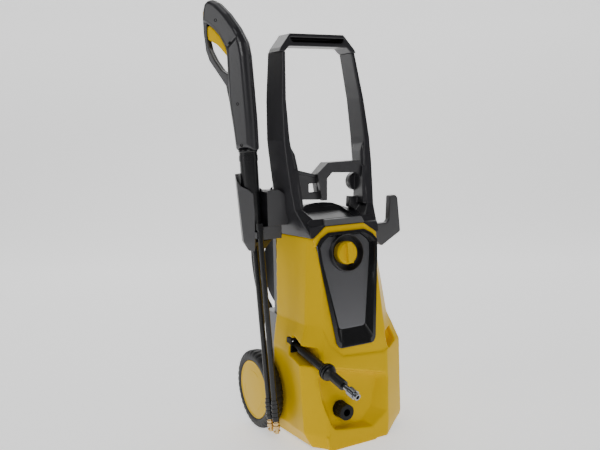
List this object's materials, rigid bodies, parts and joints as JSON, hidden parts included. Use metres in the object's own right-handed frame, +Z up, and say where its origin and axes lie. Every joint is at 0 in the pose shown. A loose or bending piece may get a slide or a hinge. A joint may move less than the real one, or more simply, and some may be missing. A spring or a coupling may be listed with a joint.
{
  "type": "pressure washer",
  "caption": "Upright electric pressure washer on two wheels, with a loop handle, control knob, rear hose reel, trigger gun in a side holster and spare lances.",
  "frame": {"origin": "on the floor under the middle of the machine, on the flat underside of the base pan", "axes": "+Z up, -Y towards the front face, +X to the right seen from behind the control panel, viewer right"},
  "size_m": [0.4306, 0.4511, 0.949],
  "materials": {
    "yellow_plastic": "satin",
    "black_plastic": "fine grain",
    "gloss_black": "gloss",
    "panel_grey": "satin metallic",
    "trim_silver": "satin metallic",
    "lance_black": "smooth",
    "brass": "turned",
    "hose_rubber": "smooth",
    "plated_metal": "bright",
    "pump_metal": "cast",
    "steel": "turned",
    "tyre_rubber": "matte",
    "cord_rubber": "smooth"
  },
  "bodies": {
    "machine": {"front_casing": "yellow_plastic", "rear_casing": "black_plastic", "reel_cradle": "black_plastic", "base_pan": "black_plastic", "switch_well": "black_plastic", "top_tray": "black_plastic", "right_leg": "black_plastic", "left_leg": "black_plastic", "top_grip": "black_plastic", "brace_plate": "black_plastic", "brace_arch": "black_plastic", "side_hook": "black_plastic", "cord_hook": "black_plastic", "holster_cup": "black_plastic", "holster_block": "black_plastic", "lance_clip": "black_plastic", "inlet_coupling": "black_plastic", "hose_guide": "black_plastic", "switch_box": "black_plastic", "gearbox": "black_plastic", "cord_gland": "black_plastic", "power_plug": "black_plastic", "panel_bezel": "gloss_black", "panel_plate": "panel_grey", "tray_trim": "trim_silver", "hose_tube": "hose_rubber", "hose_stop": "hose_rubber", "quick_connector": "plated_metal", "pump_head": "pump_metal", "motor_can": "pump_metal", "stator": "steel", "wheel_axle": "steel", "power_cord": "cord_rubber", "cord_hank": "cord_rubber"},
    "knob": {"power_knob": "yellow_plastic"},
    "left_wheel": {"left_tyre": "tyre_rubber", "left_disc": "yellow_plastic"},
    "right_wheel": {"right_tyre": "tyre_rubber", "right_disc": "yellow_plastic"},
    "motor_rotor": {"rotor": "steel", "cooling_fan": "black_plastic", "pinion": "steel"},
    "pump_gear": {"drive_gear": "steel"},
    "left_piston": {"piston_left": "steel"},
    "right_piston": {"piston_right": "steel"},
    "reel": {"reel_drum": "black_plastic", "wound_hose": "hose_rubber", "crank_arm": "black_plastic"},
    "crank_grip": {"crank_knob": "black_plastic"},
    "gun": {"gun_left_shell": "black_plastic", "gun_right_shell": "black_plastic", "gun_nozzle": "lance_black"},
    "trigger": {"gun_trigger": "yellow_plastic"},
    "lock": {"gun_lock": "yellow_plastic"},
    "lance_one": {"lance_one_tube": "lance_black", "lance_one_adaptor": "lance_black", "lance_one_fitting": "brass"},
    "lance_two": {"lance_two_tube": "lance_black", "lance_two_adaptor": "lance_black", "lance_two_fitting": "brass"}
  },
  "joints": [
    {"name": "knob_turn", "type": "hinge", "parent": "machine", "child": "knob", "pos_m": [0, -0.05478, 0.41], "axis": [0, -0.9901, 0.1406], "range_deg": [-90, 0]},
    {"name": "left_wheel_turn", "type": "hinge", "parent": "machine", "child": "left_wheel", "pos_m": [-0.15, 0.092, 0.089], "axis": [1, 0, 0], "continuous": true},
    {"name": "right_wheel_turn", "type": "hinge", "parent": "machine", "child": "right_wheel", "pos_m": [0.15, 0.092, 0.089], "axis": [1, 0, 0], "continuous": true},
    {"name": "rotor_spin", "type": "hinge", "parent": "machine", "child": "motor_rotor", "pos_m": [0.022, 0, 0.18], "axis": [0, 0, 1], "continuous": true},
    {"name": "gear_turn", "type": "hinge", "parent": "machine", "child": "pump_gear", "pos_m": [-0.0143, 0, 0.12], "axis": [0, 0, 1], "continuous": true},
    {"name": "left_piston_stroke", "type": "slide", "parent": "machine", "child": "left_piston", "axis": [0, 0, -1], "range_m": [0, 0.007], "stiffness_N_per_m": 400, "springref_m": -0.003},
    {"name": "right_piston_stroke", "type": "slide", "parent": "machine", "child": "right_piston", "axis": [0, 0, -1], "range_m": [0, 0.007], "stiffness_N_per_m": 400, "springref_m": -0.003},
    {"name": "reel_turn", "type": "hinge", "parent": "machine", "child": "reel", "pos_m": [0, 0.084, 0.357], "axis": [1, 0, 0], "continuous": true},
    {"name": "crank_grip_turn", "type": "hinge", "parent": "reel", "child": "crank_grip", "pos_m": [0.135, 0.084, 0.307], "axis": [1, 0, 0], "continuous": true},
    {"name": "gun_lift", "type": "slide", "parent": "machine", "child": "gun", "axis": [-0.0222, 0.0329, 0.9992], "range_m": [0, 0.15]},
    {"name": "trigger_squeeze", "type": "hinge", "parent": "gun", "child": "trigger", "pos_m": [-0.19575, 0.0856, 0.818], "axis": [0.8291, 0.5591, 0], "range_deg": [0, 8], "stiffness_Nm_per_rad": 0.6, "springref_deg": -5.73},
    {"name": "lock_press", "type": "slide", "parent": "gun", "child": "lock", "axis": [0.5591, -0.8291, 0], "range_m": [0, 0.003], "stiffness_N_per_m": 300, "springref_m": -0.002},
    {"name": "lance_one_lift", "type": "slide", "parent": "machine", "child": "lance_one", "axis": [-0.0053, 0.1214, 0.9926], "range_m": [0, 0.03]},
    {"name": "lance_two_lift", "type": "slide", "parent": "machine", "child": "lance_two", "axis": [-0.0047, 0.1109, 0.9938], "range_m": [0, 0.1]}
  ],
  "couplings": [
    {"joint": "gear_turn", "follows": "rotor_spin", "ratio": -0.38462}
  ]
}
